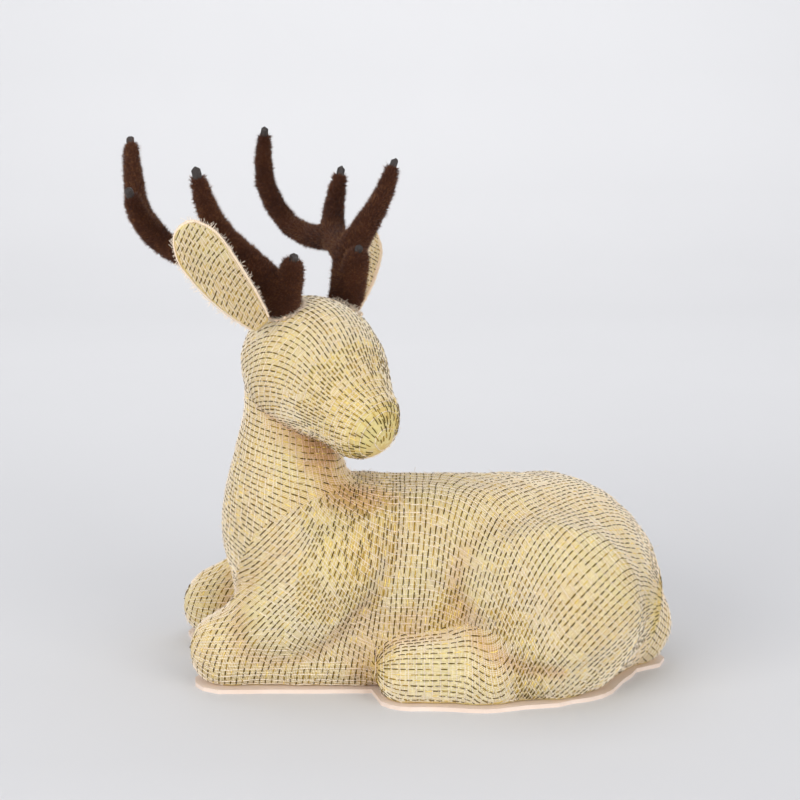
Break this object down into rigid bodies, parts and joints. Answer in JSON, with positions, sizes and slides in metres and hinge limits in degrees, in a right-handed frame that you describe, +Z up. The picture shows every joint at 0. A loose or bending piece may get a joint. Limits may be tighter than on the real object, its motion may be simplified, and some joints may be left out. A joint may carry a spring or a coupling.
{
  "type": "resting reindeer light-up figure",
  "caption": "Lying reindeer lamp figure: net-dressed moulded shell with turned head, fur antlers, cloth ears, base sheet and battery lamps inside.",
  "frame": {"origin": "on the ground under the middle of the whole figure's bounding box", "axes": "+Z up; the rump is towards +X and the chest towards -X; -Y is the side the turned head looks towards"},
  "size_m": [0.4112, 0.2676, 0.3963],
  "materials": {
    "net_cloth": "open champagne net with gold lurex yarns over a cream lining",
    "trim_cloth": "stitched cotton binding",
    "foam_sheet": "soft matt foam sheet",
    "fur": "short brown pile",
    "dark_plastic": "matt moulded",
    "milky_plastic": "translucent milky moulding",
    "white_plastic": "fine matt moulded",
    "card": "plain stiff card",
    "steel": "bright plated",
    "cell_jacket": "printed film sleeve, plain",
    "laminate": "glass laminate board",
    "copper_wire": "clear varnished wire",
    "lamp_lens": "clear warm cast resin"
  },
  "bodies": {
    "figure": {"antler_socket_left": "white_plastic", "antler_socket_right": "white_plastic", "base_sheet": "foam_sheet", "battery_tray": "white_plastic", "board_screw_1": "steel", "board_screw_2": "steel", "cell_1": "cell_jacket", "cell_2": "cell_jacket", "cell_3": "cell_jacket", "circuit_board": "laminate", "contact_plate_front": "steel", "contact_plate_rear": "steel", "contact_spring_1": "steel", "contact_spring_2": "steel", "contact_spring_3": "steel", "ear_binding_left": "trim_cloth", "ear_binding_right": "trim_cloth", "ear_net_left": "net_cloth", "ear_net_right": "net_cloth", "ear_stiffener_left": "card", "ear_stiffener_right": "card", "hinge_pin": "steel", "lamp_bead_1": "lamp_lens", "lamp_bead_2": "lamp_lens", "lamp_bead_3": "lamp_lens", "lamp_bead_4": "lamp_lens", "lamp_bead_5": "lamp_lens", "lamp_bead_6": "lamp_lens", "lamp_wire": "copper_wire", "neck_collar": "white_plastic", "net_foreleg_left": "net_cloth", "net_foreleg_right": "net_cloth", "net_head": "net_cloth", "net_hindleg_left": "net_cloth", "net_hindleg_right": "net_cloth", "net_lip_left": "net_cloth", "net_lip_right": "net_cloth", "net_neck": "net_cloth", "net_tail": "net_cloth", "net_torso": "net_cloth", "shell_body_left": "milky_plastic", "shell_body_right": "milky_plastic", "shell_head_left": "milky_plastic", "shell_head_right": "milky_plastic", "switch_body": "steel", "tray_screw_1": "steel", "tray_screw_2": "steel", "tray_screw_3": "steel", "tray_screw_4": "steel"},
    "antler_left": {"antler_core_left": "dark_plastic", "antler_fur_left": "fur"},
    "antler_right": {"antler_core_right": "dark_plastic", "antler_fur_right": "fur"},
    "door": {"battery_door": "white_plastic"},
    "switch": {"switch_slider": "dark_plastic"}
  },
  "joints": [
    {"name": "antler_left_pull", "type": "slide", "parent": "figure", "child": "antler_left", "axis": [0.1107, 0.2353, 0.9656], "range_m": [0, 0.028]},
    {"name": "antler_right_pull", "type": "slide", "parent": "figure", "child": "antler_right", "axis": [-0.2424, -0.094, 0.9656], "range_m": [0, 0.028]},
    {"name": "door_hinge", "type": "hinge", "parent": "figure", "child": "door", "pos_m": [0.00461, -0.02165, 0.0027], "axis": [0, 1, 0], "range_deg": [0, 100]},
    {"name": "switch_slide", "type": "slide", "parent": "figure", "child": "switch", "axis": [0, 1, 0], "range_m": [0, 0.0044]}
  ]
}
